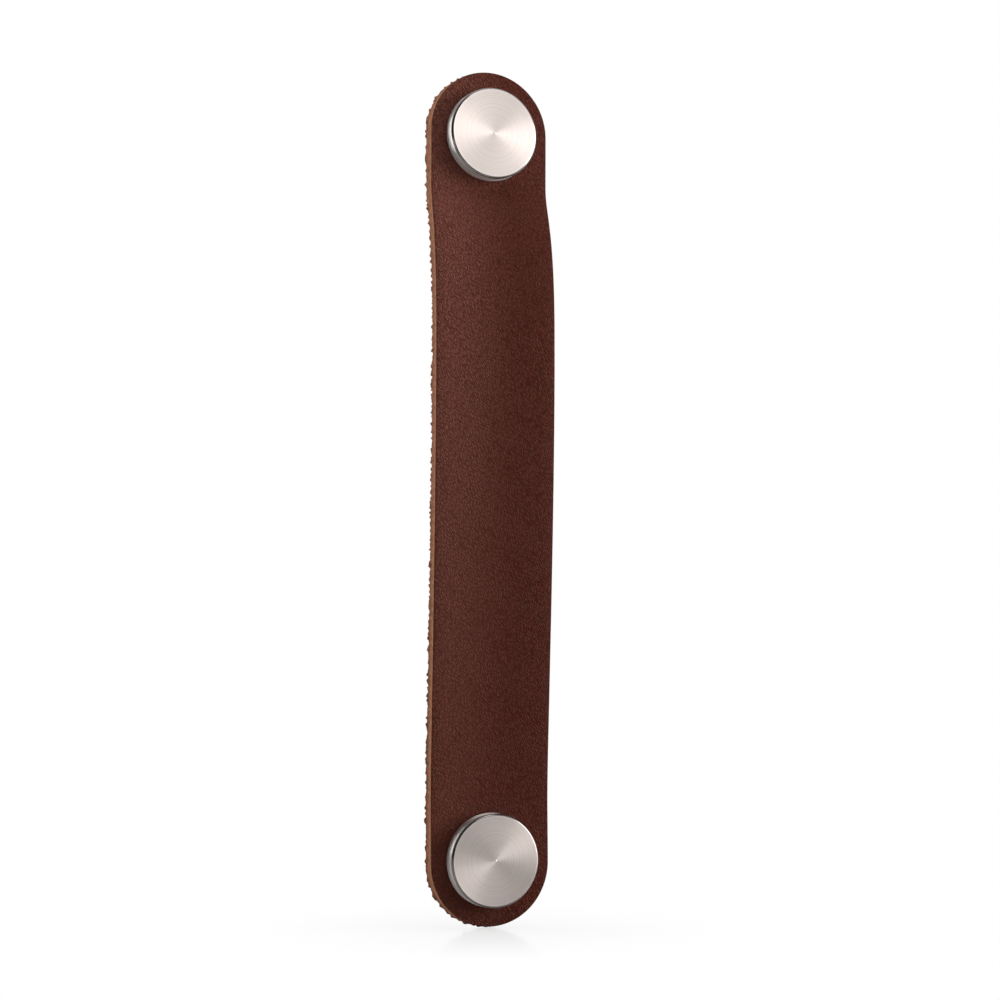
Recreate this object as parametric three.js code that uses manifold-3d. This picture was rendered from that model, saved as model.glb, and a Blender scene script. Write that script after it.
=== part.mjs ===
// Leather cabinet pull: a round-ended strap bowed off the door, clamped at each end under a turned
// steel cap by a machine screw that comes through the door from inside.
// Millimetres. +Z runs up the strap, +Y goes into the door, and the caps face -Y.
// The origin is on the door's face, midway between the two screws.

import * as THREE from 'three';
import { mergeVertices } from 'three/addons/utils/BufferGeometryUtils.js';
import Module from 'manifold-3d';

const wasm = await Module();
wasm.setup();

// Where the pull is fixed
const screwPitch = 160;
const doorThickness = 18;

// Leather strap
const strapWidth = 27.5;
const strapThickness = 3.6;
const endSetback = 0.75;        // the round end's centre lies this far past the screw's axis
const crownHeight = 4.4;        // the finger gap: how far the back of the strap stands off the door
const crownOffset = 36;         // the bow's highest point, above the middle
const seatMargin = 0.4;         // flat leather past the cap's rim, before the bow begins
const upperRoot = 0.18;         // how gently the strap leaves its upper seat and reaches its crown,
const upperShoulder = 0.72;     // as shares of the run between them
const lowerRoot = 0.1;          // the same for the longer run to the lower seat
const lowerShoulder = 0.38;

// Turned cap
const capDiameter = 20.4;
const capHeight = 3.4;
const capEdge = 0.45;           // chamfer round the front face
const capFoot = 0.25;           // chamfer where the cap meets the leather
const pipRadius = 0.3;          // point of metal that the lathe tool leaves at the centre of the face
const pipHeight = 0.1;
const faceWall = 1.2;           // metal left between the blind hole and the front face
const drillSlope = 0.5;         // how steeply the drill's point rises across the hole's radius

// Neck of the cap, which stands in the punched hole
const neckDiameter = 7;
const neckSetback = 0.6;        // the neck ends short of the door, so that the leather is what is clamped
const neckEdge = 0.3;
const holeClearance = 0.3;      // all round the neck

// Machine screw with a pan head and a cross recess
const screwDiameter = 4;
const threadClearance = 0.3;    // all round the screw, in the cap and beyond
const tipClearance = 1.8;       // between the screw's end and the bottom of the blind hole
const tipChamfer = 0.5;
const headDiameter = 8;
const headHeight = 2.6;
const headRound = 1.7;          // the curved shoulder of the pan head
const recessSpan = 4.2;
const recessSlot = 1.1;
const recessDepth = 1.6;

// Worked out from the sizes above
const screwHeight = screwPitch / 2;
const endRadius = strapWidth / 2;
const capRadius = capDiameter / 2;
const neckRadius = neckDiameter / 2;
const screwRadius = screwDiameter / 2;
const headRadius = headDiameter / 2;
const holeRadius = neckRadius + holeClearance;
const boreRadius = screwRadius + threadClearance;
const strapEnd = screwHeight + endSetback + endRadius;
const seatEnd = screwHeight - capRadius - seatMargin;
const capSeat = -strapThickness;
const capFace = capSeat - capHeight;
const neckEnd = -neckSetback;
const boreBottom = capFace + faceWall;
const screwTip = boreBottom + tipClearance;
const headSeat = doorThickness;

// How finely the round shapes are cut
const roundSegments = 96;
const outlineSegments = 28;
const bowSegments = 22;
const shoulderSteps = 6;
const cutMargin = 2;            // how far a cutting shape stands past what it cuts
const weldDistance = 1e-4;      // corners closer than this are one corner

// Materials, in the colours of the object
const leather = new THREE.MeshStandardMaterial({ color: 0x552d28, roughness: 0.62, metalness: 0 });
const turnedSteel = new THREE.MeshStandardMaterial({ color: 0xc9c2be, roughness: 0.3, metalness: 1 });
const platedSteel = new THREE.MeshStandardMaterial({ color: 0xb9bcbf, roughness: 0.38, metalness: 1 });

// Closed solids for joining and cutting
function solidOf(geometry) {
  const bare = geometry.clone();
  bare.deleteAttribute('normal');
  bare.deleteAttribute('uv');
  const merged = mergeVertices(bare, weldDistance);
  return new wasm.Manifold(new wasm.Mesh({
    numProp: 3,
    vertProperties: new Float32Array(merged.attributes.position.array),
    triVerts: new Uint32Array(merged.index.array),
  }));
}

function geometryOf(solid) {
  const mesh = solid.getMesh();
  const geometry = new THREE.BufferGeometry();
  geometry.setAttribute('position', new THREE.BufferAttribute(mesh.vertProperties, 3));
  geometry.setIndex(new THREE.BufferAttribute(mesh.triVerts, 1));
  geometry.computeVertexNormals();
  return geometry;
}

// Extrudes a shape and turns it so that its x, its y and its depth run along the given directions
function extruded(shape, depth, curveSegments, alongX, alongY) {
  const geometry = new THREE.ExtrudeGeometry(shape, { depth, curveSegments, bevelEnabled: false });
  const alongDepth = new THREE.Vector3().crossVectors(alongX, alongY);
  geometry.translate(0, 0, -depth / 2);
  geometry.applyMatrix4(new THREE.Matrix4().makeBasis(alongX, alongY, alongDepth));
  return geometry;
}

const right = new THREE.Vector3(1, 0, 0);
const inward = new THREE.Vector3(0, 1, 0);
const up = new THREE.Vector3(0, 0, 1);

// Leather strap: its side view, a band that is flat at both seats and bowed between them, is cut by
// its front view, the punched blank with round ends and two holes
function bowedBand() {
  const back = 0;
  const backCrown = back - crownHeight;
  const front = back - strapThickness;
  const frontCrown = backCrown - strapThickness;
  const upperRun = seatEnd - crownOffset;
  const lowerRun = seatEnd + crownOffset;
  const leavesUpperSeat = seatEnd - upperRoot * upperRun;
  const reachesCrownAbove = crownOffset + upperShoulder * upperRun;
  const reachesCrownBelow = crownOffset - lowerShoulder * lowerRun;
  const leavesLowerSeat = -seatEnd + lowerRoot * lowerRun;
  const reach = strapEnd + cutMargin;
  const side = new THREE.Shape();
  side.moveTo(-reach, back);
  side.lineTo(-reach, front);
  side.lineTo(-seatEnd, front);
  side.bezierCurveTo(leavesLowerSeat, front, reachesCrownBelow, frontCrown, crownOffset, frontCrown);
  side.bezierCurveTo(reachesCrownAbove, frontCrown, leavesUpperSeat, front, seatEnd, front);
  side.lineTo(reach, front);
  side.lineTo(reach, back);
  side.lineTo(seatEnd, back);
  side.bezierCurveTo(leavesUpperSeat, back, reachesCrownAbove, backCrown, crownOffset, backCrown);
  side.bezierCurveTo(reachesCrownBelow, backCrown, leavesLowerSeat, back, -seatEnd, back);
  side.closePath();
  return extruded(side, strapWidth + 2 * cutMargin, bowSegments, up, inward);
}

function punchedBlank() {
  const arcCentre = screwHeight + endSetback;
  const blank = new THREE.Shape();
  blank.absarc(0, arcCentre, endRadius, 0, Math.PI);
  blank.absarc(0, -arcCentre, endRadius, Math.PI, 2 * Math.PI);
  blank.closePath();
  for (const height of [screwHeight, -screwHeight]) {
    const hole = new THREE.Path();
    hole.absarc(0, height, holeRadius, 0, 2 * Math.PI, true);
    blank.holes.push(hole);
  }
  const depth = 2 * (crownHeight + strapThickness + cutMargin);
  return extruded(blank, depth, outlineSegments, right, up);
}

function strapGeometry() {
  return geometryOf(solidOf(punchedBlank()).intersect(solidOf(bowedBand())));
}

// Turned cap: one turned piece, with its neck in the strap's hole and a blind hole for the screw
function capGeometry() {
  const drillPoint = boreRadius * drillSlope;
  const profile = [
    [0, capFace - pipHeight],
    [pipRadius, capFace],
    [capRadius - capEdge, capFace],
    [capRadius, capFace + capEdge],
    [capRadius, capSeat - capFoot],
    [capRadius - capFoot, capSeat],
    [neckRadius, capSeat],
    [neckRadius, neckEnd - neckEdge],
    [neckRadius - neckEdge, neckEnd],
    [boreRadius, neckEnd],
    [boreRadius, boreBottom + drillPoint],
    [0, boreBottom],
  ];
  return turned(profile);
}

// Machine screw: tip in the cap, pan head against the inside of the door
function screwGeometry() {
  const shoulder = [];
  for (let step = 0; step <= shoulderSteps; step += 1) {
    const angle = (step / shoulderSteps) * (Math.PI / 2);
    shoulder.push([
      headRadius - headRound * (1 - Math.cos(angle)),
      headSeat + headHeight - headRound * (1 - Math.sin(angle)),
    ]);
  }
  const profile = [
    [0, screwTip],
    [screwRadius - tipChamfer, screwTip],
    [screwRadius, screwTip + tipChamfer],
    [screwRadius, headSeat],
    [headRadius, headSeat],
    ...shoulder,
    [0, headSeat + headHeight],
  ];
  return geometryOf(solidOf(turned(profile)).subtract(solidOf(crossRecess())));
}

function crossRecess() {
  const long = recessSpan / 2;
  const short = recessSlot / 2;
  const cross = new THREE.Shape([
    [long, short], [short, short], [short, long],
    [-short, long], [-short, short], [-long, short],
    [-long, -short], [-short, -short], [-short, -long],
    [short, -long], [short, -short], [long, -short],
  ].map(([x, y]) => new THREE.Vector2(x, y)));
  const geometry = extruded(cross, 2 * recessDepth, 1, right, up);
  geometry.translate(0, headSeat + headHeight, 0);
  return geometry;
}

// Turns a profile of [radius, distance along Y] round the Y axis
function turned(profile) {
  const points = profile.map(([radius, along]) => new THREE.Vector2(radius, along));
  return new THREE.LatheGeometry(points, roundSegments);
}

// The assembled pull
const pull = new THREE.Group();

function add(name, geometry, material, height = 0) {
  const mesh = new THREE.Mesh(geometry, material);
  mesh.name = name;
  mesh.position.z = height;
  pull.add(mesh);
}

add('leather_strap', strapGeometry(), leather);
for (const [end, height] of [['upper', screwHeight], ['lower', -screwHeight]]) {
  add(`${end}_cap`, capGeometry(), turnedSteel, height);
  add(`${end}_screw`, screwGeometry(), platedSteel, height);
}

export default pull;
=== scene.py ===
# %% [markdown]
# # A leather cabinet pull
# A strap of thick leather is bowed off a cabinet door as a grip. A turned steel cap clamps each end, and
# a machine screw comes through the door into the back of each cap. This lesson dresses the measured
# model: it keeps its sizes and gives every piece the surface that the real one has.

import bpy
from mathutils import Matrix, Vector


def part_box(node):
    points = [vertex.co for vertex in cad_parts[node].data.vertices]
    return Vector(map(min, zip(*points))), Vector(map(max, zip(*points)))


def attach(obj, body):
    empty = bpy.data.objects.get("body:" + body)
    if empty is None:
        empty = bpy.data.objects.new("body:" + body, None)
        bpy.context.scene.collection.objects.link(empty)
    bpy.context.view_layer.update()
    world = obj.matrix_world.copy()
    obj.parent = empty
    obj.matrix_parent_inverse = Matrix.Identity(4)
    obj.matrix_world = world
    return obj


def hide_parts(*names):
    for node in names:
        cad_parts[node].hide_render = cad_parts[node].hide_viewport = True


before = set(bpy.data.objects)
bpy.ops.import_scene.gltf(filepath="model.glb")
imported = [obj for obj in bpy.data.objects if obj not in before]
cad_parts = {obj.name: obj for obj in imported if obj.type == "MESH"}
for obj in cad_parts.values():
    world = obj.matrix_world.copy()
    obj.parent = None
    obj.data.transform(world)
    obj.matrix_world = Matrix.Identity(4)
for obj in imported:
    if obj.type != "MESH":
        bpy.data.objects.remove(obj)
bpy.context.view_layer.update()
print("pieces in the measured model:", sorted(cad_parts))

# %% [markdown]
# Blender counts in metres, but a pull maker counts in millimetres. Each piece is therefore modelled in
# millimetres and shrunk once, when it is finished. Whatever the measured model already knows, such as
# widths and places, is read from it, so that the dressed pieces cannot drift away from it.

# %% Sizes in millimetres
import math
from bisect import bisect_left

import bmesh
import bpy
from mathutils import Matrix, Vector, noise
from mathutils.geometry import interpolate_bezier

MM = 0.001


def box_in_mm(node):
    """Lowest and highest corner of a piece of the measured model, in millimetres."""
    low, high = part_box(node)
    return low / MM, high / MM


strap_low, strap_high = box_in_mm("leather_strap")
cap_low, cap_high = box_in_mm("upper_cap")
screw_low, screw_high = box_in_mm("upper_screw")
strap_thickness = 3.6
half_width = strap_high.x
screw_height = (cap_low.z + cap_high.z) / 2
arc_height = strap_high.z - half_width
cap_radius = (cap_high.x - cap_low.x) / 2
leather_front = -strap_thickness
hole_radius = 3.8
crown_height = -strap_low.y - strap_thickness
print(f"strap {2 * half_width:.1f} mm wide, bow {crown_height:.1f} mm")
print(f"screws {2 * screw_height:.0f} mm apart")

# %% [markdown]
# The camera stands low and to the left, close enough for the lower cap to look a little larger than the
# upper one. A long lens is written as the number of picture widths that fit in its focal length, which
# stays true whatever the sensor is called.

# %% Camera
camera_distance = 0.505
camera_azimuth = math.radians(-22.35)
camera_elevation = math.radians(-4.12)
camera_roll = math.radians(-0.09)
camera_target = Vector((0.00403, 0, -0.00101))
focal_length_in_picture_widths = 2.2677

camera_data = bpy.data.cameras.new("camera")
camera_data.sensor_fit = "HORIZONTAL"
camera_data.lens = focal_length_in_picture_widths * camera_data.sensor_width
camera_data.clip_start = 0.01
camera = bpy.data.objects.new("camera", camera_data)
bpy.context.collection.objects.link(camera)
toward_camera = Vector((
    math.sin(camera_azimuth) * math.cos(camera_elevation),
    -math.cos(camera_azimuth) * math.cos(camera_elevation),
    math.sin(camera_elevation),
))
camera.location = camera_target + camera_distance * toward_camera
aim = (-toward_camera).to_track_quat("-Z", "Y").to_matrix()
camera.rotation_euler = (aim @ Matrix.Rotation(camera_roll, 3, "Z")).to_euler()
bpy.context.scene.camera = camera
bpy.context.scene.view_settings.view_transform = "Standard"
print(f"lens {camera_data.lens:.1f} mm, camera at {[round(n, 3) for n in camera.location]}")

# %% [markdown]
# Materials are built from nodes. A few small helpers keep that readable. The first adds a node and fills
# or links its inputs by name, and the others use it: to calculate, to ramp a value up or down, to start
# a material with its Principled shader and to blend colours. The last turns a colour as the eye sees it
# into the linear numbers that a shader works with.

# %% Node helpers
def add_node(tree, kind, inputs=None, **settings):
    """Adds a shader node. Each input is a number, a colour or another node's output."""
    made = tree.nodes.new("ShaderNode" + kind)
    for name, value in settings.items():
        setattr(made, name, value)
    for name, value in (inputs or {}).items():
        socket = made.inputs[name]
        if isinstance(value, bpy.types.NodeSocket):
            tree.links.new(value, socket)
        else:
            socket.default_value = value
    return made


def calculate(tree, operation, first, second=0.0, clamp=False):
    """Adds a Math node and gives its result."""
    return add_node(tree, "Math", {0: first, 1: second}, operation=operation, use_clamp=clamp).outputs[0]


def ramp(tree, value, start=0.0, finish=1.0, low=0.0, high=1.0, smooth=False):
    """Gives low where the value is at start, high where it is at finish, and a ramp between them."""
    inputs = {"Value": value, "From Min": start, "From Max": finish, "To Min": low, "To Max": high}
    kind = "SMOOTHSTEP" if smooth else "LINEAR"
    return add_node(tree, "MapRange", inputs, interpolation_type=kind).outputs["Result"]


def new_material(name):
    """A material with a Principled shader: gives the material, its tree and the shader."""
    material = bpy.data.materials.new(name)
    material.use_nodes = True
    tree = material.node_tree
    tree.nodes.clear()
    shader = add_node(tree, "BsdfPrincipled")
    output = add_node(tree, "OutputMaterial", {"Surface": shader.outputs["BSDF"]})
    output.is_active_output = True
    return material, tree, shader


# A Mix node has sockets for numbers, vectors and colours. These are the ones that blend colours.
MIX_MASK, MIX_FIRST, MIX_SECOND, MIX_RESULT = 0, 6, 7, 2


def blend_colours(tree, mask, first, second):
    """Gives the first colour where the mask is 0 and the second where it is 1."""
    inputs = {MIX_MASK: mask, MIX_FIRST: first, MIX_SECOND: second}
    return add_node(tree, "Mix", inputs, data_type="RGBA").outputs[MIX_RESULT]


def colour(red, green, blue):
    """A colour given as it looks on screen, turned into the linear numbers that a shader reads."""
    linear = [((part / 255 + 0.055) / 1.055) ** 2.4 if part > 10 else part / 255 / 12.92
              for part in (red, green, blue)]
    return (*linear, 1.0)


# %% [markdown]
# Some effects are needed by more than one material, and each of them is a node group. "Cloudy patches"
# gives the soft, uneven tone that no real surface is without. "Pebbled hide" gives the tiny plump cells
# of leather and the creases between them. "Turned rings" gives the fine grooves that a lathe tool
# leaves round a centre, and the distance from that centre. They read a position in millimetres, so that
# a size in a group is a real size.

# %% Shared node groups
def new_group(name, inputs, outputs):
    """An empty node group with named number inputs, a Vector input and named number outputs."""
    group = bpy.data.node_groups.new(name, "ShaderNodeTree")
    group.interface.new_socket("Vector", in_out="INPUT", socket_type="NodeSocketVector")
    for socket_name, value in inputs.items():
        socket = group.interface.new_socket(socket_name, in_out="INPUT", socket_type="NodeSocketFloat")
        socket.default_value = value
    for socket_name in outputs:
        group.interface.new_socket(socket_name, in_out="OUTPUT", socket_type="NodeSocketFloat")
    start = group.nodes.new("NodeGroupInput")
    end = group.nodes.new("NodeGroupOutput")
    return group, start, end


def use_group(tree, group, inputs):
    """Places a group in a material."""
    return add_node(tree, "Group", inputs, node_tree=group)


def cloudy_patches():
    group, start, end = new_group("Cloudy patches", {"Size": 10.0, "Contrast": 1.0}, ["Mask"])
    per_mm = calculate(group, "DIVIDE", 1.0, start.outputs["Size"])
    cloud = add_node(group, "TexNoise", {"Vector": start.outputs["Vector"], "Scale": per_mm, "Detail": 4.0,
                                         "Roughness": 0.55})
    centred = calculate(group, "SUBTRACT", cloud.outputs["Fac"], 0.5)
    contrasted = calculate(group, "MULTIPLY", centred, start.outputs["Contrast"])
    group.links.new(calculate(group, "ADD", contrasted, 0.5, clamp=True), end.inputs["Mask"])
    return group


def pebbled_hide():
    group, start, end = new_group("Pebbled hide", {"Cell": 0.4, "Wander": 0.12}, ["Height", "Crease"])
    per_mm = calculate(group, "DIVIDE", 1.0, start.outputs["Cell"])
    sway = add_node(group, "TexNoise", {"Vector": start.outputs["Vector"], "Scale": 1.3, "Detail": 3.0})
    centred = add_node(group, "VectorMath", {0: sway.outputs["Color"], 1: (0.5, 0.5, 0.5)},
                       operation="SUBTRACT")
    swayed = add_node(group, "VectorMath", {0: centred.outputs[0]}, operation="SCALE")
    group.links.new(start.outputs["Wander"], swayed.inputs["Scale"])
    moved = add_node(group, "VectorMath", {0: start.outputs["Vector"], 1: swayed.outputs[0]}, operation="ADD")
    cells = add_node(group, "TexVoronoi", {"Vector": moved.outputs[0], "Scale": per_mm},
                     feature="DISTANCE_TO_EDGE")
    from_edge = cells.outputs["Distance"]
    group.links.new(ramp(group, from_edge, finish=0.45, smooth=True), end.inputs["Height"])
    group.links.new(ramp(group, from_edge, finish=0.2, low=1.0, high=0.0, smooth=True), end.inputs["Crease"])
    return group


def turned_rings():
    group, start, end = new_group("Turned rings", {"Spacing": 0.12}, ["Height", "Radius"])
    flat = add_node(group, "VectorMath", {0: start.outputs["Vector"], 1: (1.0, 0.0, 1.0)},
                    operation="MULTIPLY")
    radius = add_node(group, "VectorMath", {0: flat.outputs[0]}, operation="LENGTH").outputs["Value"]
    turns = calculate(group, "DIVIDE", radius, start.outputs["Spacing"])
    fine = add_node(group, "TexNoise", {"W": turns, "Scale": 1.0, "Detail": 3.0, "Roughness": 0.7},
                    noise_dimensions="1D")
    group.links.new(fine.outputs["Fac"], end.inputs["Height"])
    group.links.new(radius, end.inputs["Radius"])
    return group


CLOUDY_PATCHES = cloudy_patches()
PEBBLED_HIDE = pebbled_hide()
TURNED_RINGS = turned_rings()


def millimetres(tree, centre=(0, 0, 0)):
    """A position in millimetres from a centre given in millimetres."""
    place = add_node(tree, "TexCoord").outputs["Object"]
    return add_node(tree, "Mapping", {"Vector": place, "Location": [-part for part in centre],
                                      "Scale": (1 / MM, 1 / MM, 1 / MM)}).outputs[0]


def stretched(tree, position, slant, lengths):
    """A position turned by a slant in degrees in the strap's face, then measured in the given lengths."""
    return add_node(tree, "Mapping", {"Vector": position, "Rotation": (0, math.radians(slant), 0),
                                      "Scale": lengths}, vector_type="TEXTURE").outputs[0]


print("node groups:", [group.name for group in bpy.data.node_groups])

# %% [markdown]
# The face of the strap is the grain side of the hide, dyed reddish brown and lightly waxed. Its cells
# are about a millimetre long, so they are bump and not geometry. Pressing has drawn them out into short
# strokes that slant down to the right, with a fainter set across them. The bump is only about a tenth of
# a millimetre high: more would scatter the light and turn the leather grey. The creases carry painted
# shade, deeper towards the top, and light specks in the colour are painted glints. A painted sheen pales
# the colour towards the upper left, and the dye is thin along the rim, where the tan of the hide warms it.

# %% Grain leather
def grain_leather():
    material, tree, shader = new_material("grain leather")
    position = millimetres(tree)
    strokes = stretched(tree, position, 54, (1.25, 1.0, 0.42))
    across = stretched(tree, position, -62, (1.0, 1.0, 0.5))
    pebbles = use_group(tree, PEBBLED_HIDE, {"Vector": strokes, "Cell": 0.92, "Wander": 0.1})
    fine = use_group(tree, PEBBLED_HIDE, {"Vector": across, "Cell": 0.9, "Wander": 0.3})
    patches = use_group(tree, CLOUDY_PATCHES, {"Vector": position, "Size": 6.0, "Contrast": 1.6})
    specks = use_group(tree, CLOUDY_PATCHES, {"Vector": strokes, "Size": 0.8, "Contrast": 3.0})

    parts = add_node(tree, "SeparateXYZ", {"Vector": position}).outputs
    # leftward and upward place a painted sheen, which pales the dye towards the upper left
    leftward = ramp(tree, parts["X"], start=6.5, finish=-13.0, low=0.26, smooth=True)
    upward = ramp(tree, parts["Z"], start=-70.0, finish=90.0, low=0.42, smooth=True)
    dyed = blend_colours(tree, patches.outputs["Mask"], colour(53, 15, 5), colour(59, 17, 6))
    with_painted_sheen = blend_colours(tree, calculate(tree, "MULTIPLY", leftward, upward), dyed, colour(125, 76, 65))
    # painted glints: light specks in the colour stand in for highlights on the grain
    with_painted_glints = blend_colours(tree, calculate(tree, "MULTIPLY", specks.outputs["Mask"], 0.24),
                             with_painted_sheen, colour(106, 42, 24))
    # painted shade in the creases between the cells, deeper towards the top
    contrast = ramp(tree, upward, start=0.42, low=0.42, high=0.6)
    with_crease_shade = blend_colours(tree, calculate(tree, "MULTIPLY", pebbles.outputs["Crease"], contrast),
                            with_painted_glints, colour(22, 7, 4))
    depth = add_node(tree, "Attribute", attribute_name="depth").outputs["Fac"]
    worn = ramp(tree, depth, start=0.01, finish=0.08, high=0.6, smooth=True)
    tree.links.new(blend_colours(tree, worn, with_crease_shade, colour(122, 72, 50)), shader.inputs["Base Color"])

    rough = calculate(tree, "ADD", ramp(tree, patches.outputs["Mask"], low=0.28, high=0.33),
                      calculate(tree, "MULTIPLY", pebbles.outputs["Crease"], 0.06))
    tree.links.new(calculate(tree, "ADD", rough, calculate(tree, "MULTIPLY", worn, 0.9)),
                   shader.inputs["Roughness"])
    shader.inputs["Specular IOR Level"].default_value = 0.035

    plump = ramp(tree, leftward, low=0.9, high=1.7)
    height = calculate(tree, "ADD", calculate(tree, "MULTIPLY", pebbles.outputs["Height"], plump),
                       calculate(tree, "MULTIPLY", fine.outputs["Height"], 0.2))
    bump = add_node(tree, "Bump", {"Strength": 1.0, "Distance": 0.00008, "Height": height})
    tree.links.new(bump.outputs["Normal"], shader.inputs["Normal"])
    return material


GRAIN_LEATHER = grain_leather()

# %% [markdown]
# Where the blade went through, the inside of the hide shows: tan, matt and made of fibres. The dye has
# soaked in a little way from the face, which draws a thin dark line, and the fibres get longer and looser
# towards the flesh side, where dark notches between them are painted shade. Along the lower half the
# colour is browner towards the back corner. The mesh gives the depth below the face in an attribute
# called depth, 0 at the face and 1 at the back.

# %% Raw cut edge
def cut_leather():
    material, tree, shader = new_material("cut leather edge")
    position = millimetres(tree)
    depth = add_node(tree, "Attribute", attribute_name="depth").outputs["Fac"]
    fibres = stretched(tree, position, 0, (1.0, 0.35, 1.0))
    strands = add_node(tree, "TexNoise", {"Vector": fibres, "Scale": 1.3, "Detail": 6.0, "Roughness": 0.75})
    patches = use_group(tree, CLOUDY_PATCHES, {"Vector": position, "Size": 0.9, "Contrast": 2.4})

    hide = blend_colours(tree, patches.outputs["Mask"], colour(128, 78, 52), colour(182, 124, 90))
    split = ramp(tree, depth, start=0.4, finish=0.24, high=0.1, smooth=True)
    banded = blend_colours(tree, split, hide, colour(208, 156, 118))
    # painted shade: dark notches between the fibres, more of them towards the back
    looser = ramp(tree, depth, start=0.1, low=0.2, high=0.85)
    notches = ramp(tree, strands.outputs["Fac"], start=0.56, finish=0.4)
    shadowed = calculate(tree, "MULTIPLY", looser, notches)
    with_notch_shade = blend_colours(tree, shadowed, banded, colour(84, 46, 28))
    height = add_node(tree, "SeparateXYZ", {"Vector": position}).outputs["Z"]
    low_down = ramp(tree, height, start=20.0, finish=-60.0, smooth=True)
    outermost = ramp(tree, depth, start=0.5, finish=0.95, high=0.75, smooth=True)
    browned = blend_colours(tree, calculate(tree, "MULTIPLY", low_down, outermost), with_notch_shade,
                            colour(96, 56, 34))
    dyed = ramp(tree, depth, start=0.07, finish=0.12, low=1.0, high=0.0, smooth=True)
    tree.links.new(blend_colours(tree, dyed, browned, colour(58, 24, 16)), shader.inputs["Base Color"])
    shader.inputs["Roughness"].default_value = 0.9
    shader.inputs["Specular IOR Level"].default_value = 0.25
    bump = add_node(tree, "Bump", {"Strength": 0.8, "Distance": 0.00025, "Height": strands.outputs["Fac"]})
    tree.links.new(bump.outputs["Normal"], shader.inputs["Normal"])
    return material


CUT_LEATHER = cut_leather()

# %% [markdown]
# The back of the strap is the flesh side: suede, with a short nap that lies in soft patches. A little
# sheen stands for the light that catches the ends of the nap.

# %% Suede back
def suede():
    material, tree, shader = new_material("suede")
    position = millimetres(tree)
    patches = use_group(tree, CLOUDY_PATCHES, {"Vector": position, "Size": 5.0, "Contrast": 2.0})
    nap = use_group(tree, CLOUDY_PATCHES, {"Vector": position, "Size": 0.3, "Contrast": 2.4})
    lying = blend_colours(tree, patches.outputs["Mask"], colour(140, 92, 66), colour(172, 120, 88))
    tree.links.new(blend_colours(tree, calculate(tree, "MULTIPLY", nap.outputs["Mask"], 0.5), lying,
                                 colour(112, 70, 50)), shader.inputs["Base Color"])
    shader.inputs["Roughness"].default_value = 0.95
    shader.inputs["Specular IOR Level"].default_value = 0.2
    shader.inputs["Sheen Weight"].default_value = 0.25
    shader.inputs["Sheen Roughness"].default_value = 0.5
    bump = add_node(tree, "Bump", {"Strength": 0.8, "Distance": 0.0002, "Height": nap.outputs["Mask"]})
    tree.links.new(bump.outputs["Normal"], shader.inputs["Normal"])
    return material


SUEDE = suede()

# %% [markdown]
# The caps are stainless steel, faced on a lathe. The tool leaves rings too fine to see one by one, which
# spread a reflection outwards from the centre: that is the bright and dark butterfly on every spun face.
# Anisotropy does this, with a tangent that runs round the axis, turned a quarter so that the light
# spreads across the rings. A faint bump and a faint change of tone add the few rings that the eye does
# catch.

# %% Turned steel
def turned_steel(name, height_of_centre):
    material, tree, shader = new_material(name)
    position = millimetres(tree, centre=(0, 0, height_of_centre))
    fine = use_group(tree, TURNED_RINGS, {"Vector": position, "Spacing": 0.12})
    broad = use_group(tree, TURNED_RINGS, {"Vector": position, "Spacing": 0.25})
    patches = use_group(tree, CLOUDY_PATCHES, {"Vector": position, "Size": 4.0, "Contrast": 1.0})
    rings = calculate(tree, "ADD", calculate(tree, "MULTIPLY", fine.outputs["Height"], 0.5),
                      calculate(tree, "MULTIPLY", broad.outputs["Height"], 0.5))
    ring_tone = ramp(tree, rings, start=0.3, finish=0.7)
    steel = blend_colours(tree, ring_tone, colour(206, 194, 188), colour(244, 232, 226))
    tree.links.new(steel, shader.inputs["Base Color"])
    tree.links.new(ramp(tree, patches.outputs["Mask"], low=0.3, high=0.36), shader.inputs["Roughness"])
    shader.inputs["Metallic"].default_value = 1.0
    shader.inputs["Anisotropic"].default_value = 0.64
    shader.inputs["Anisotropic Rotation"].default_value = 0.25
    around = add_node(tree, "Tangent", direction_type="RADIAL", axis="Y")
    tree.links.new(around.outputs[0], shader.inputs["Tangent"])
    bump = add_node(tree, "Bump", {"Strength": 0.5, "Distance": 0.00001, "Height": rings})
    tree.links.new(bump.outputs["Normal"], shader.inputs["Normal"])
    return material


CAP_STEEL = {"upper_cap": turned_steel("turned steel of the upper cap", screw_height),
             "lower_cap": turned_steel("turned steel of the lower cap", -screw_height)}

# %% [markdown]
# The wall of a cap is turned with the same tool, but the chamfer is cut by a polished one. The wall
# therefore spreads its reflection along the axis, far enough to catch the white room past the leather.
# The chamfer mirrors only a narrow view, and its steel is painted darker, a painted dark reflection, so
# that it reads as a thin dark line with a bright spot where it meets a lamp.

# %% Wall and chamfer of the caps
def wall_steel():
    material, tree, shader = new_material("turned steel wall")
    position = millimetres(tree)
    streaks = add_node(tree, "TexNoise", {"Vector": stretched(tree, position, 0, (6.0, 0.08, 6.0)),
                                          "Scale": 1.0, "Detail": 3.0})
    tree.links.new(blend_colours(tree, streaks.outputs["Fac"], colour(210, 202, 198), colour(240, 236, 233)),
                   shader.inputs["Base Color"])
    tree.links.new(ramp(tree, streaks.outputs["Fac"], low=0.34, high=0.46), shader.inputs["Roughness"])
    shader.inputs["Metallic"].default_value = 1.0
    shader.inputs["Anisotropic"].default_value = 0.9
    shader.inputs["Anisotropic Rotation"].default_value = 0.25
    around = add_node(tree, "Tangent", direction_type="RADIAL", axis="Y")
    tree.links.new(around.outputs[0], shader.inputs["Tangent"])
    return material


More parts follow.
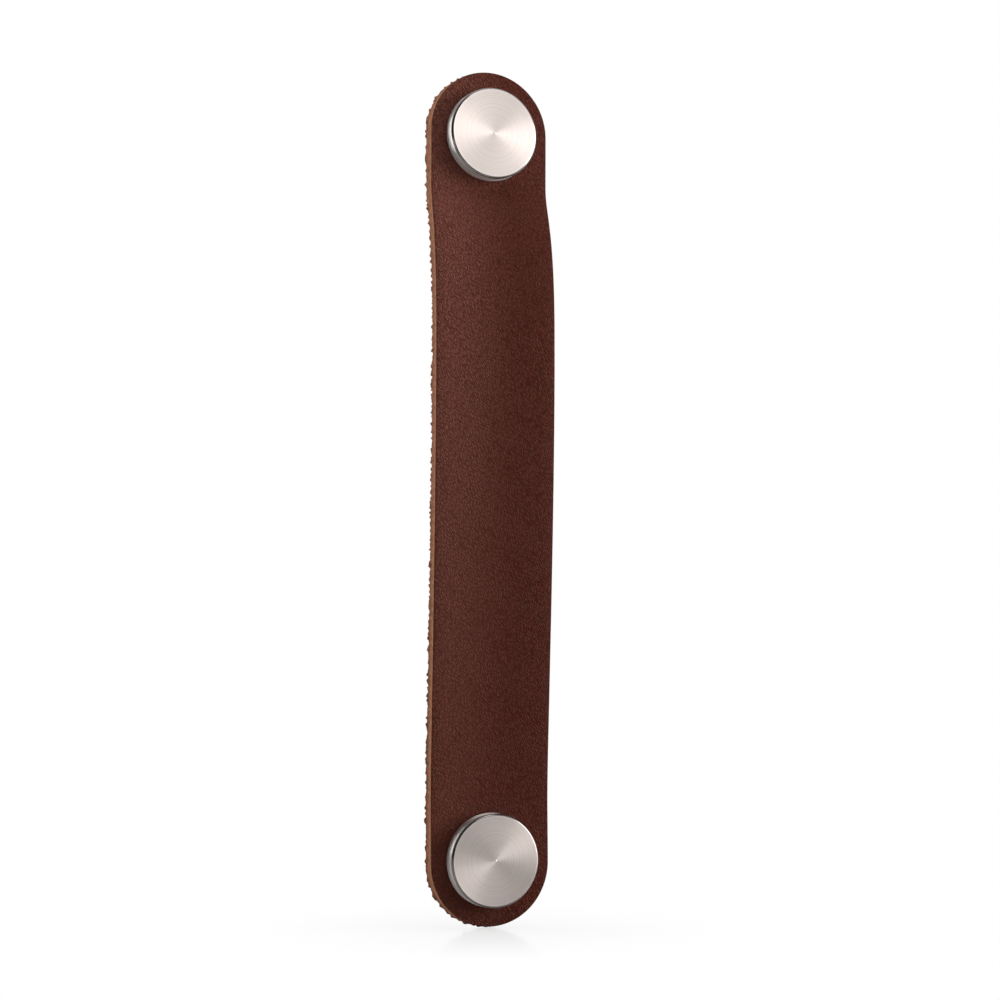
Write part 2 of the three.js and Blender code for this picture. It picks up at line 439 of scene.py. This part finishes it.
def chamfer_steel():
    material, tree, shader = new_material("polished steel chamfer")
    position = millimetres(tree)
    wiped = use_group(tree, CLOUDY_PATCHES, {"Vector": position, "Size": 1.5, "Contrast": 1.6})
    # painted dark reflection: the chamfer's steel is darker than the rest of the cap
    tree.links.new(blend_colours(tree, wiped.outputs["Mask"], colour(112, 107, 105), colour(134, 129, 126)),
                   shader.inputs["Base Color"])
    tree.links.new(ramp(tree, wiped.outputs["Mask"], low=0.1, high=0.17), shader.inputs["Roughness"])
    shader.inputs["Metallic"].default_value = 1.0
    return material


WALL_STEEL = wall_steel()
CHAMFER_STEEL = chamfer_steel()

# %% [markdown]
# The screws are rolled from steel wire and zinc plated: bright, a little bluish and cloudy, with small
# variations in gloss where the plating bath left them. The roots of the thread are painted dark grey, as
# painted shade, and the distance from the screw's axis tells where they are. Upper and lower screw share
# the material, so their places are mirrored into one before that distance is taken.

# %% Plated steel
def plated_steel():
    material, tree, shader = new_material("zinc plated steel")
    position = millimetres(tree)
    patches = use_group(tree, CLOUDY_PATCHES, {"Vector": position, "Size": 1.6, "Contrast": 2.0})
    specks = use_group(tree, CLOUDY_PATCHES, {"Vector": position, "Size": 0.15, "Contrast": 2.0})
    plated = blend_colours(tree, patches.outputs["Mask"], colour(196, 200, 204), colour(222, 224, 222))
    mirrored = add_node(tree, "VectorMath", {0: position}, operation="ABSOLUTE").outputs[0]
    from_axis = add_node(tree, "VectorMath", {0: mirrored, 1: (0, 0, screw_height)}, operation="SUBTRACT")
    radius = use_group(tree, TURNED_RINGS, {"Vector": from_axis.outputs[0]}).outputs["Radius"]
    # painted shade: the roots of the thread are darker grey than the plating
    groove = ramp(tree, radius, start=1.95, finish=1.62, high=0.85)
    along = add_node(tree, "SeparateXYZ", {"Vector": position}).outputs["Y"]
    thread_end = 17.0
    thread_root_shade = calculate(tree, "MULTIPLY", groove, calculate(tree, "LESS_THAN", along, thread_end))
    tree.links.new(blend_colours(tree, thread_root_shade, plated, colour(74, 75, 76)), shader.inputs["Base Color"])
    tree.links.new(ramp(tree, specks.outputs["Mask"], low=0.26, high=0.44), shader.inputs["Roughness"])
    shader.inputs["Metallic"].default_value = 1.0
    return material


PLATED_STEEL = plated_steel()
print("materials:", [material.name for material in bpy.data.materials if material.use_nodes])

# %% [markdown]
# Every finished piece leaves its workbench in the same way. It is shrunk from millimetres to metres, its
# place is in its mesh, it rides on the body of the model, and it stands for one piece of that model.

# %% Finish a piece
def finish_piece(bm, name, materials, node, sharp_degrees=35):
    """Turns a mesh modelled in millimetres into a piece of the pull."""
    bmesh.ops.scale(bm, vec=(MM, MM, MM), verts=bm.verts)
    mesh = bpy.data.meshes.new(name)
    bm.to_mesh(mesh)
    bm.free()
    for material in materials:
        mesh.materials.append(material)
    mesh.shade_smooth()
    mesh.set_sharp_from_angle(angle=math.radians(sharp_degrees))
    piece = bpy.data.objects.new(name, mesh)
    bpy.context.collection.objects.link(piece)
    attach(piece, "root")
    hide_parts(node)
    print(f"{name}: {len(mesh.polygons)} faces")


# %% [markdown]
# ## The strap
# On the bench the strap is die-cut from a flat hide and only then bowed. The mesh follows the same
# order. A ring of faces is bridged from the punched hole to the outline of one end, whose inner half is
# square so that a straight strip can be drawn out of it. A mirror makes the other half. A boolean on a
# plain slab would be shorter, but it leaves long thin faces that crease when the strap is bent.

# %% Cut the flat blank
ring_segments = 192
ring_cuts = 12
strip_cuts = 200
weld = 0.001


def square_below(rim):
    """Moves the lower half of a round rim out to a square, evenly spaced along each side."""
    corner = math.pi / 4
    depth = half_width + arc_height - screw_height
    for vert in rim:
        drop = arc_height - vert.co.z
        if drop <= weld:
            continue
        angle = math.atan2(vert.co.x, drop)
        if abs(angle) <= corner:
            vert.co.x = half_width * angle / corner
            vert.co.z = arc_height - depth
        else:
            vert.co.x = math.copysign(half_width, angle)
            vert.co.z = arc_height - depth * (2 - abs(angle) / corner)


def flat_blank():
    bm = bmesh.new()
    upright = Matrix.Rotation(math.pi / 2, 4, "X")
    bmesh.ops.create_circle(bm, segments=ring_segments, radius=hole_radius,
                            matrix=Matrix.Translation((0, 0, screw_height)) @ upright)
    rim = bmesh.ops.create_circle(bm, segments=ring_segments, radius=half_width,
                                  matrix=Matrix.Translation((0, 0, arc_height)) @ upright)["verts"]
    square_below(rim)
    spokes = bmesh.ops.bridge_loops(bm, edges=bm.edges[:])["edges"]
    bmesh.ops.subdivide_edges(bm, edges=spokes, cuts=ring_cuts, use_grid_fill=True)

    strip_top = min(vert.co.z for vert in bm.verts)
    chord = [edge for edge in bm.edges if all(vert.co.z < strip_top + weld for vert in edge.verts)]
    drawn = bmesh.ops.extrude_edge_only(bm, edges=chord)["geom"]
    drawn_verts = [item for item in drawn if isinstance(item, bmesh.types.BMVert)]
    bmesh.ops.translate(bm, vec=(0, 0, -strip_top), verts=drawn_verts)
    long_edges = [edge for edge in bm.edges if edge.calc_length() > strip_top - weld]
    bmesh.ops.subdivide_edges(bm, edges=long_edges, cuts=strip_cuts, use_grid_fill=True)
    bmesh.ops.mirror(bm, geom=bm.verts[:] + bm.edges[:] + bm.faces[:], axis="Z", merge_dist=weld)
    bmesh.ops.remove_doubles(bm, verts=bm.verts, dist=weld)
    return bm


strap = flat_blank()
print(f"flat blank: {len(strap.faces)} faces")

# %% [markdown]
# Solidify gives the blank its thickness. The blade presses the face down as it enters, so the rim of
# the grain side is rounded: a bevel on that one outline. The wall of the cut is then divided into rows,
# which give the fraying something to move.

# %% Give the blank its thickness
rim_round = 0.26
rim_segments = 4
wall_rows = 9
looks_forward = -0.9
hole_margin = 0.5


def on_front_outline(edge):
    """True if one face of the edge looks along -Y and the other does not."""
    return sum(face.normal.y < looks_forward for face in edge.link_faces) == 1


def near_hole(place):
    across = math.hypot(place.x, abs(place.z) - screw_height)
    return across < hole_radius + hole_margin


def thicken(bm):
    bmesh.ops.recalc_face_normals(bm, faces=bm.faces)
    bmesh.ops.solidify(bm, geom=bm.faces[:], thickness=strap_thickness)
    bmesh.ops.recalc_face_normals(bm, faces=bm.faces)
    nearest = min(vert.co.y for vert in bm.verts)
    bmesh.ops.translate(bm, vec=(0, leather_front - nearest, 0), verts=bm.verts)
    outline = [edge for edge in bm.edges if on_front_outline(edge) and not near_hole(edge.verts[0].co)]
    bmesh.ops.bevel(bm, geom=outline, offset=rim_round, segments=rim_segments, profile=0.5,
                    affect="EDGES", material=-1)
    posts = [edge for edge in bm.edges
             if abs(edge.verts[0].co.y - edge.verts[1].co.y) > strap_thickness / 2]
    bmesh.ops.subdivide_edges(bm, edges=posts, cuts=wall_rows - 1, use_grid_fill=True)


thicken(strap)
print(f"thick blank: {len(strap.faces)} faces")

# %% [markdown]
# Each face gets its leather now, while the blank is flat and it is easy to say which side is which. Two
# attributes remember places: the depth below the face, which the materials and the fraying need later,
# and the nearness to the rim, which tells where the face is pressed down.

# %% Mark face, edge and back
GRAIN, CUT, FLESH = 0, 1, 2
rim_reach = 1.1
face_slope = -0.3
back_slope = 0.7


def inward_from_outline(place):
    """Distance from the outline, and the direction straight out through it."""
    spine = Vector((0, 0, max(-arc_height, min(arc_height, place.z))))
    out = Vector((place.x, 0, place.z)) - spine
    return half_width - out.length, out.normalized()


def mark(bm):
    depth = bm.verts.layers.float.new("depth")
    rim = bm.verts.layers.float.new("rim")
    for vert in bm.verts:
        vert[depth] = (vert.co.y - leather_front) / strap_thickness
        inset, _ = inward_from_outline(vert.co)
        vert[rim] = math.exp(-(max(inset, 0) / rim_reach) ** 2)
    for face in bm.faces:
        if face.normal.y < face_slope:
            face.material_index = GRAIN
        elif face.normal.y > back_slope:
            face.material_index = FLESH
        else:
            face.material_index = CUT


mark(strap)

# %% [markdown]
# The cut edge is never clean. A noise that grows with depth pushes the wall in and out, and a sharper
# one pulls nibs and tufts out of the back corner. The grain face is pressed down a little along its rim
# and, clear of the caps, falls off towards it. It is not perfectly flat either, and the leather below it
# gives way less and less with depth. All of this is moved in code, because no operator knows what a hide
# looks like.

# %% Fray the cut edge
wander, fray = 0.03, 0.13
nib, nibs_per_mm = 0.85, 1.5
tuft, tufts_per_mm, tuft_rarity = 0.99, 1.7, 0.32
longest_fibre = 0.4
wall_within, firm_depth = 0.02, 0.1
rough_per_mm, rough_fall, rough_step, rough_layers = 1.1, 0.8, 2.1, 4
rim_sink = 0.1
shoulder_sink, shoulder_reach = 0.32, 5.0
sink_run = 24
unevenness, hollows_per_mm = 0.05, 0.12


def smooth_step(low, high, value):
    share = max(0.0, min(1.0, (value - low) / (high - low)))
    return share * share * (3 - 2 * share)


def fray_edge(bm):
    depth = bm.verts.layers.float["depth"]
    rim = bm.verts.layers.float["rim"]
    for vert in bm.verts:
        place = vert.co.copy()
        inset, outward = inward_from_outline(place)
        if inset < wall_within and vert[depth] > firm_depth:
            rough = noise.fractal(place * rough_per_mm, rough_fall, rough_step, rough_layers)
            vert.co += outward * (wander + fray * smooth_step(0.15, 1.0, vert[depth])) * rough
            bunched = max(0.0, noise.noise(place * nibs_per_mm + Vector((3, 7, 5))))
            torn = max(0.0, noise.noise(place * tufts_per_mm + Vector((9, 4, 2))) - tuft_rarity)
            pulled = min(longest_fibre, nib * bunched + tuft * torn)
            vert.co += outward * pulled * smooth_step(0.5, 1.0, vert[depth])
        if math.hypot(place.x, abs(place.z) - screw_height) > cap_radius:
            clear = smooth_step(screw_height, screw_height - sink_run, abs(place.z))
            sink = rim_sink * vert[rim] + shoulder_sink * clear * math.exp(-max(inset, 0) / shoulder_reach)
            sink += unevenness * max(0.0, noise.noise(Vector((place.x, 0, place.z)) * hollows_per_mm))
            vert.co.y += sink * (1 - vert[depth])


fray_edge(strap)

# %% [markdown]
# Last, the strap is bowed. Its side view is the same pair of curves as in the measured model: flat under
# each cap, highest above the middle. Leather that has been bent by hand is never quite square, so the
# bow also turns a few degrees about its length. The holes are a little wider than the necks of the caps,
# and the strap has settled a fifth of a millimetre to the right in them.

# %% Bow the strap
crown_offset = 36
seat_margin = 0.4
upper_root, upper_shoulder = 0.18, 0.72
lower_root, lower_shoulder = 0.1, 0.38
twist = math.radians(-3.5)
sideways = 0.2
curve_steps = 240
seat_end = screw_height - cap_radius - seat_margin


def bow_curve():
    upper_run = seat_end - crown_offset
    lower_run = seat_end + crown_offset
    lower = interpolate_bezier(Vector((-seat_end, 0)), Vector((-seat_end + lower_root * lower_run, 0)),
                               Vector((crown_offset - lower_shoulder * lower_run, crown_height)),
                               Vector((crown_offset, crown_height)), curve_steps)
    upper = interpolate_bezier(Vector((crown_offset, crown_height)),
                               Vector((crown_offset + upper_shoulder * upper_run, crown_height)),
                               Vector((seat_end - upper_root * upper_run, 0)), Vector((seat_end, 0)),
                               curve_steps)
    return lower + upper[1:]


BOW = bow_curve()
BOW_HEIGHTS = [point[0] for point in BOW]


def bow_at(height):
    """How far the strap stands off the door at a height."""
    if abs(height) >= seat_end:
        return 0.0
    after = max(1, bisect_left(BOW_HEIGHTS, height))
    low, high = BOW[after - 1], BOW[after]
    share = (height - low[0]) / (high[0] - low[0])
    return low[1] + share * (high[1] - low[1])


def bend(place):
    """Where a point of the flat blank goes when the strap is bowed."""
    bow = bow_at(place.z)
    middle = Vector((0, leather_front / 2, place.z))
    turned = Matrix.Rotation(twist * bow / crown_height, 3, "Z") @ (place - middle) + middle
    return turned + Vector((sideways, -bow, 0))


for vert in strap.verts:
    vert.co = bend(vert.co)
finish_piece(strap, "strap_leather", [GRAIN_LEATHER, CUT_LEATHER, SUEDE], "leather_strap",
             sharp_degrees=50)

# %% [markdown]
# ## The caps
# A cap is turned, so it is modelled as a turner thinks: half of its section is drawn once and spun round
# the screw's axis. The full spin merges its first and last step, and the points on the axis are welded.
# A last small bevel breaks the ring edges, which is what makes them catch the light.

# %% Spin a section
turn_steps = 192
sharp_corner = math.radians(30)


def spin_section(bm, section, steps):
    """Spins a list of (radius, place along Y) round the Y axis and welds it to what is there."""
    points = [bm.verts.new((radius, along, 0)) for radius, along in section]
    edges = [bm.edges.new(pair) for pair in zip(points, points[1:])]
    bmesh.ops.spin(bm, geom=points + edges, cent=(0, 0, 0), axis=(0, 1, 0), dvec=(0, 0, 0),
                   angle=2 * math.pi, steps=steps, use_merge=True, use_duplicate=False)
    bmesh.ops.remove_doubles(bm, verts=bm.verts, dist=weld)
    bmesh.ops.recalc_face_normals(bm, faces=bm.faces)


def break_edges(bm, width, steps=2):
    """Rounds the edges of a turned piece that are sharper than a third of a right angle."""
    sharp = [edge for edge in bm.edges
             if len(edge.link_faces) == 2 and edge.calc_face_angle() > sharp_corner]
    bmesh.ops.bevel(bm, geom=sharp, offset=width, segments=steps, profile=0.5, affect="EDGES", material=-1)


# %% [markdown]
# The section runs from the centre of the face, where the tool left a tiny point, out over the chamfer and
# down the wall, in under the rim to the neck in the strap's hole, and up inside the screw's blind hole.

# %% Turn the caps
cap_face = cap_low.y
neck_end = cap_high.y
cap_chamfer = 0.45
cap_foot = 0.25
edge_land = 0.12
neck_radius = 3.5
bore_radius = 2.3
face_wall = 1.2
pip_radius = 0.3
pip_height = 0.1
broken_edge = 0.04
FACE, WALL, CHAMFER = 0, 1, 2
wall_slope = 0.2


def cap_section():
    bore_bottom = cap_face + face_wall
    return [
        (0, cap_face - pip_height),
        (pip_radius * 0.5, cap_face - pip_height * 0.7),
        (pip_radius, cap_face),
        *[(cap_radius * share, cap_face) for share in (0.06, 0.25, 0.5, 0.75, 0.9)],
        (cap_radius - cap_chamfer, cap_face),
        (cap_radius - cap_chamfer + edge_land, cap_face + edge_land / 3),
        (cap_radius, cap_face + cap_chamfer),
        (cap_radius, leather_front - cap_foot),
        (cap_radius - cap_foot, leather_front),
        (neck_radius, leather_front),
        (neck_radius, neck_end),
        (bore_radius, neck_end),
        (bore_radius, bore_bottom + bore_radius / 2),
        (0, bore_bottom),
    ]


def finish_of(face):
    """Which finish a face of the cap has. The point at the centre is as rough as the wall."""
    middle = face.calc_center_median()
    from_axis = math.hypot(middle.x, middle.z)
    looks_out = face.normal.y < 0
    if abs(face.normal.y) < wall_slope or (looks_out and from_axis < pip_radius):
        return WALL
    if looks_out and from_axis > cap_radius - cap_chamfer:
        return CHAMFER
    return FACE


for node, material in CAP_STEEL.items():
    low, high = box_in_mm(node)
    cap = bmesh.new()
    spin_section(cap, cap_section(), turn_steps)
    break_edges(cap, broken_edge)
    for face in cap.faces:
        face.material_index = finish_of(face)
    bmesh.ops.translate(cap, vec=(0, 0, (low.z + high.z) / 2), verts=cap.verts)
    finish_piece(cap, node + "_turned", [material, WALL_STEEL, CHAMFER_STEEL], node,
                 sharp_degrees=12)

# %% [markdown]
# ## The screws
# They hide behind the strap from the front, but anyone who looks behind sees them. A real thread is a
# groove rolled along a helix: one tooth of its section is spun round and round while it moves along,
# and neighbouring turns are welded. A texture of stripes would be quicker, but it leaves the outline of
# the screw smooth.

# %% Roll the thread
screw_tip = screw_low.y
head_seat = 18.0
head_top = screw_high.y
screw_radius = 2.0
thread_pitch = 0.7
thread_root = 1.57
thread_steps = 32
tip_chamfer = 0.5
shank_length = 1.0
spare_turns = 4
lead_in = 2.3 * thread_pitch


def rolled_thread():
    """A closed length of thread from the tip to just inside the plain shank under the head."""
    turns = math.ceil((head_seat - screw_tip) / thread_pitch) + spare_turns
    start = screw_tip - lead_in
    bm = bmesh.new()
    tooth = [(0.0, thread_root), (0.08, thread_root), (0.31, screw_radius), (0.39, screw_radius),
             (0.62, thread_root), (thread_pitch, thread_root)]
    points = [bm.verts.new((radius, start + along, 0)) for along, radius in tooth]
    edges = [bm.edges.new(pair) for pair in zip(points, points[1:])]
    bmesh.ops.spin(bm, geom=points + edges, cent=(0, 0, 0), axis=(0, 1, 0),
                   dvec=(0, thread_pitch / thread_steps, 0), angle=2 * math.pi * turns,
                   steps=thread_steps * turns, use_merge=False, use_duplicate=False)
    bmesh.ops.remove_doubles(bm, verts=bm.verts, dist=weld)
    for along, side in ((screw_tip, -1), (head_seat - shank_length / 2, 1)):
        everything = bm.verts[:] + bm.edges[:] + bm.faces[:]
        cut = bmesh.ops.bisect_plane(bm, geom=everything, plane_co=(0, along, 0),
                                     plane_no=(0, side, 0), clear_outer=True)["geom_cut"]
        rim = [item for item in cut if isinstance(item, bmesh.types.BMEdge)]
        bmesh.ops.holes_fill(bm, edges=rim, sides=0)
    for vert in bm.verts:
        radius = math.hypot(vert.co.x, vert.co.z)
        limit = screw_radius - tip_chamfer + max(0.0, vert.co.y - screw_tip)
        if radius > limit:
            vert.co.x *= limit / radius
            vert.co.z *= limit / radius
    bmesh.ops.recalc_face_normals(bm, faces=bm.faces)
    return bm


# %% [markdown]
# The head starts as a ring round a cross. The cross is a grid of nine squares without its corners, and
# the flat between ring and cross is bridged. Drawing the cross down and in makes the tapered recess
# that a driver fits. The rest of the head is spun on to the ring. A boolean could cut the recess too, but
# it leaves thin faces on the flat, which show in the gloss.

# %% Form the head
head_radius = 4.0
head_round = 1.7
recess_reach = 2.1
recess_half_slot = 0.5
recess_depth = 1.6
recess_taper = 0.5
shank_chamfer = 0.3
head_steps = 96


def cross_in_ring(bm):
    """The flat top of the head with its cross recess."""
    upright = Matrix.Translation((0, head_top, 0)) @ Matrix.Rotation(math.pi / 2, 4, "X")
    bmesh.ops.create_grid(bm, x_segments=3, y_segments=3, size=recess_reach, matrix=upright)
    middle = recess_reach / 2
    corners = [face for face in bm.faces if min(abs(face.calc_center_median().x),
                                                abs(face.calc_center_median().z)) > middle]
    bmesh.ops.delete(bm, geom=corners, context="FACES")
    for vert in bm.verts:
        if abs(vert.co.x) < middle:
            vert.co.x = math.copysign(recess_half_slot, vert.co.x)
        if abs(vert.co.z) < middle:
            vert.co.z = math.copysign(recess_half_slot, vert.co.z)
    cross = bmesh.ops.dissolve_faces(bm, faces=bm.faces[:])["region"][0]
    bmesh.ops.subdivide_edges(bm, edges=cross.edges[:], cuts=head_steps // 12 - 1)
    bmesh.ops.create_circle(bm, segments=head_steps, radius=head_radius - head_round, matrix=upright)
    bmesh.ops.bridge_loops(bm, edges=bm.edges[:])
    cross = max(bm.faces, key=lambda face: len(face.verts))
    sunk = bmesh.ops.extrude_face_region(bm, geom=[cross])["geom"]
    if cross.is_valid:
        bmesh.ops.delete(bm, geom=[cross], context="FACES_ONLY")
    sunk_verts = [item for item in sunk if isinstance(item, bmesh.types.BMVert)]
    bmesh.ops.scale(bm, vec=(recess_taper, 1, recess_taper), verts=sunk_verts)
    bmesh.ops.translate(bm, vec=(0, -recess_depth, 0), verts=sunk_verts)


def pan_head():
    bm = bmesh.new()
    cross_in_ring(bm)
    turns = [math.radians(15 * step) for step in range(7)]
    shoulder = [(head_radius - head_round * (1 - math.sin(turn)),
                 head_top - head_round * (1 - math.cos(turn))) for turn in turns]
    shank_end = head_seat - shank_length
    spin_section(bm, shoulder + [(head_radius, head_seat), (screw_radius + shank_chamfer, head_seat),
                                 (screw_radius, head_seat - shank_chamfer),
                                 (screw_radius, shank_end + shank_chamfer),
                                 (thread_root, shank_end), (0, shank_end)], head_steps)
    return bm


def open_edges(bm):
    return sum(not edge.is_manifold for edge in bm.edges)


for node in ("upper_screw", "lower_screw"):
    low, high = box_in_mm(node)
    screw = pan_head()
    thread = rolled_thread()
    print(f"{node}: {open_edges(screw)} open edges in the head, {open_edges(thread)} in the thread")
    loose_thread = bpy.data.meshes.new("loose thread")
    thread.to_mesh(loose_thread)
    thread.free()
    screw.from_mesh(loose_thread)
    bpy.data.meshes.remove(loose_thread)
    bmesh.ops.translate(screw, vec=(0, 0, (low.z + high.z) / 2), verts=screw.verts)
    finish_piece(screw, node + "_plated", [PLATED_STEEL], node)

# %% [markdown]
# ## The studio
# The pull stands just above a pale, slightly glossy floor in a white room. The world is white where the
# camera looks at it. Metal and gloss mirror a room that is white behind the pull and dim in front of it,
# which gives the dark half of every reflection. A large soft lamp at the right does most of the work.

# %% White room
fill_front, fill_back = 0.06, 0.9
mirror_front, mirror_back = 0.1, 1.0


def from_front_to_back(tree, direction, front, back):
    """A strength that rises from the front of the room to the back."""
    backward = add_node(tree, "SeparateXYZ", {"Vector": direction}).outputs["Y"]
    return ramp(tree, backward, start=-0.1, finish=0.2, low=front, high=back, smooth=True)


def white_room():
    world = bpy.data.worlds.new("white room")
    world.use_nodes = True
    tree = world.node_tree
    tree.nodes.clear()
    direction = add_node(tree, "TexCoord").outputs["Generated"]
    strengths = {"fill": from_front_to_back(tree, direction, fill_front, fill_back),
                 "mirrored": from_front_to_back(tree, direction, mirror_front, mirror_back), "seen": 1.0}
    rooms = {name: add_node(tree, "Background", {"Color": (1, 1, 1, 1), "Strength": strength}).outputs[0]
             for name, strength in strengths.items()}
    path = add_node(tree, "LightPath").outputs
    mirrors = calculate(tree, "MAXIMUM", path["Is Glossy Ray"], path["Is Transmission Ray"])
    in_mirrors = add_node(tree, "MixShader", {0: mirrors, 1: rooms["fill"], 2: rooms["mirrored"]})
    shown = add_node(tree, "MixShader", {0: path["Is Camera Ray"], 1: in_mirrors.outputs[0],
                                         2: rooms["seen"]})
    add_node(tree, "OutputWorld", {"Surface": shown.outputs[0]})
    bpy.context.scene.world = world


white_room()

# %% [markdown]
# The floor is white to the camera, except close to the foot of the pull, where it keeps some of its own
# surface: the shadow there and a faint mirror image make the pull stand on something. The metal mirrors
# the floor's own pale grey near the pull and the white of the room farther away.

# %% Pale floor
floor_gap = 0.4
floor_reach = 3.0
foot_y, foot_z = -2.0, -94.5
shadow_reach = 60.0
white_from, white_to = 300.0, 900.0


def pale_floor():
    bm = bmesh.new()
    bmesh.ops.create_grid(bm, x_segments=2, y_segments=2, size=floor_reach)
    bmesh.ops.translate(bm, vec=(0, 0, (strap_low.z - floor_gap) * MM), verts=bm.verts)
    mesh = bpy.data.meshes.new("floor")
    bm.to_mesh(mesh)
    bm.free()
    material, tree, shader = new_material("pale floor")
    shader.inputs["Base Color"].default_value = (0.6, 0.6, 0.6, 1.0)
    shader.inputs["Roughness"].default_value = 0.12
    shader.inputs["Specular IOR Level"].default_value = 0.4
    place = millimetres(tree, centre=(0, foot_y, foot_z))
    distance = add_node(tree, "VectorMath", {0: place}, operation="LENGTH").outputs["Value"]
    near = ramp(tree, distance, finish=shadow_reach, low=0.72, smooth=True)
    far = ramp(tree, distance, start=white_from, finish=white_to, smooth=True)
    path = add_node(tree, "LightPath").outputs
    mirrors = calculate(tree, "MAXIMUM", path["Is Glossy Ray"], path["Is Transmission Ray"])
    in_mirrors = calculate(tree, "MULTIPLY", mirrors, far)
    in_camera = calculate(tree, "MULTIPLY", path["Is Camera Ray"], near)
    white = add_node(tree, "Emission", {"Color": (1, 1, 1, 1), "Strength": 1.0})
    shown = add_node(tree, "MixShader", {0: calculate(tree, "MAXIMUM", in_mirrors, in_camera),
                                         1: shader.outputs[0], 2: white.outputs[0]})
    output = next(node for node in tree.nodes if node.bl_idname == "ShaderNodeOutputMaterial")
    tree.links.new(shown.outputs[0], output.inputs["Surface"])
    mesh.materials.append(material)
    floor = bpy.data.objects.new("floor", mesh)
    bpy.context.collection.objects.link(floor)


pale_floor()

# %% [markdown]
# Four soft lamps. The right softbox is the main one: it models the strap, throws the short shadows at the
# left of the caps and makes the bright half of their butterfly. The high softbox lights the strap from
# above. The front panel is what the upper cap mirrors, and the side lamp lights the cut edge from behind.

# %% Lamps
def softbox(name, azimuth, elevation, distance, width, height, power):
    """A rectangular lamp that looks at the pull from a direction in degrees round it."""
    data = bpy.data.lights.new(name, "AREA")
    data.shape = "RECTANGLE"
    data.size = width
    data.size_y = height
    data.energy = power
    lamp = bpy.data.objects.new(name, data)
    bpy.context.collection.objects.link(lamp)
    turn, rise = math.radians(azimuth), math.radians(elevation)
    place = Vector((math.sin(turn) * math.cos(rise), -math.cos(turn) * math.cos(rise), math.sin(rise)))
    lamp.location = place * distance
    lamp.rotation_euler = (-place).to_track_quat("-Z", "Y").to_euler()
    lamp.visible_camera = False


softbox("right softbox", azimuth=64, elevation=10, distance=0.85, width=0.46, height=0.53, power=8.0)
softbox("high softbox", azimuth=30, elevation=66, distance=0.6, width=0.4, height=0.4, power=1.7)
softbox("front panel", azimuth=20, elevation=18, distance=0.6, width=0.46, height=0.18, power=0.33)
softbox("side lamp", azimuth=-118, elevation=20, distance=0.245, width=0.1, height=0.26, power=0.32)
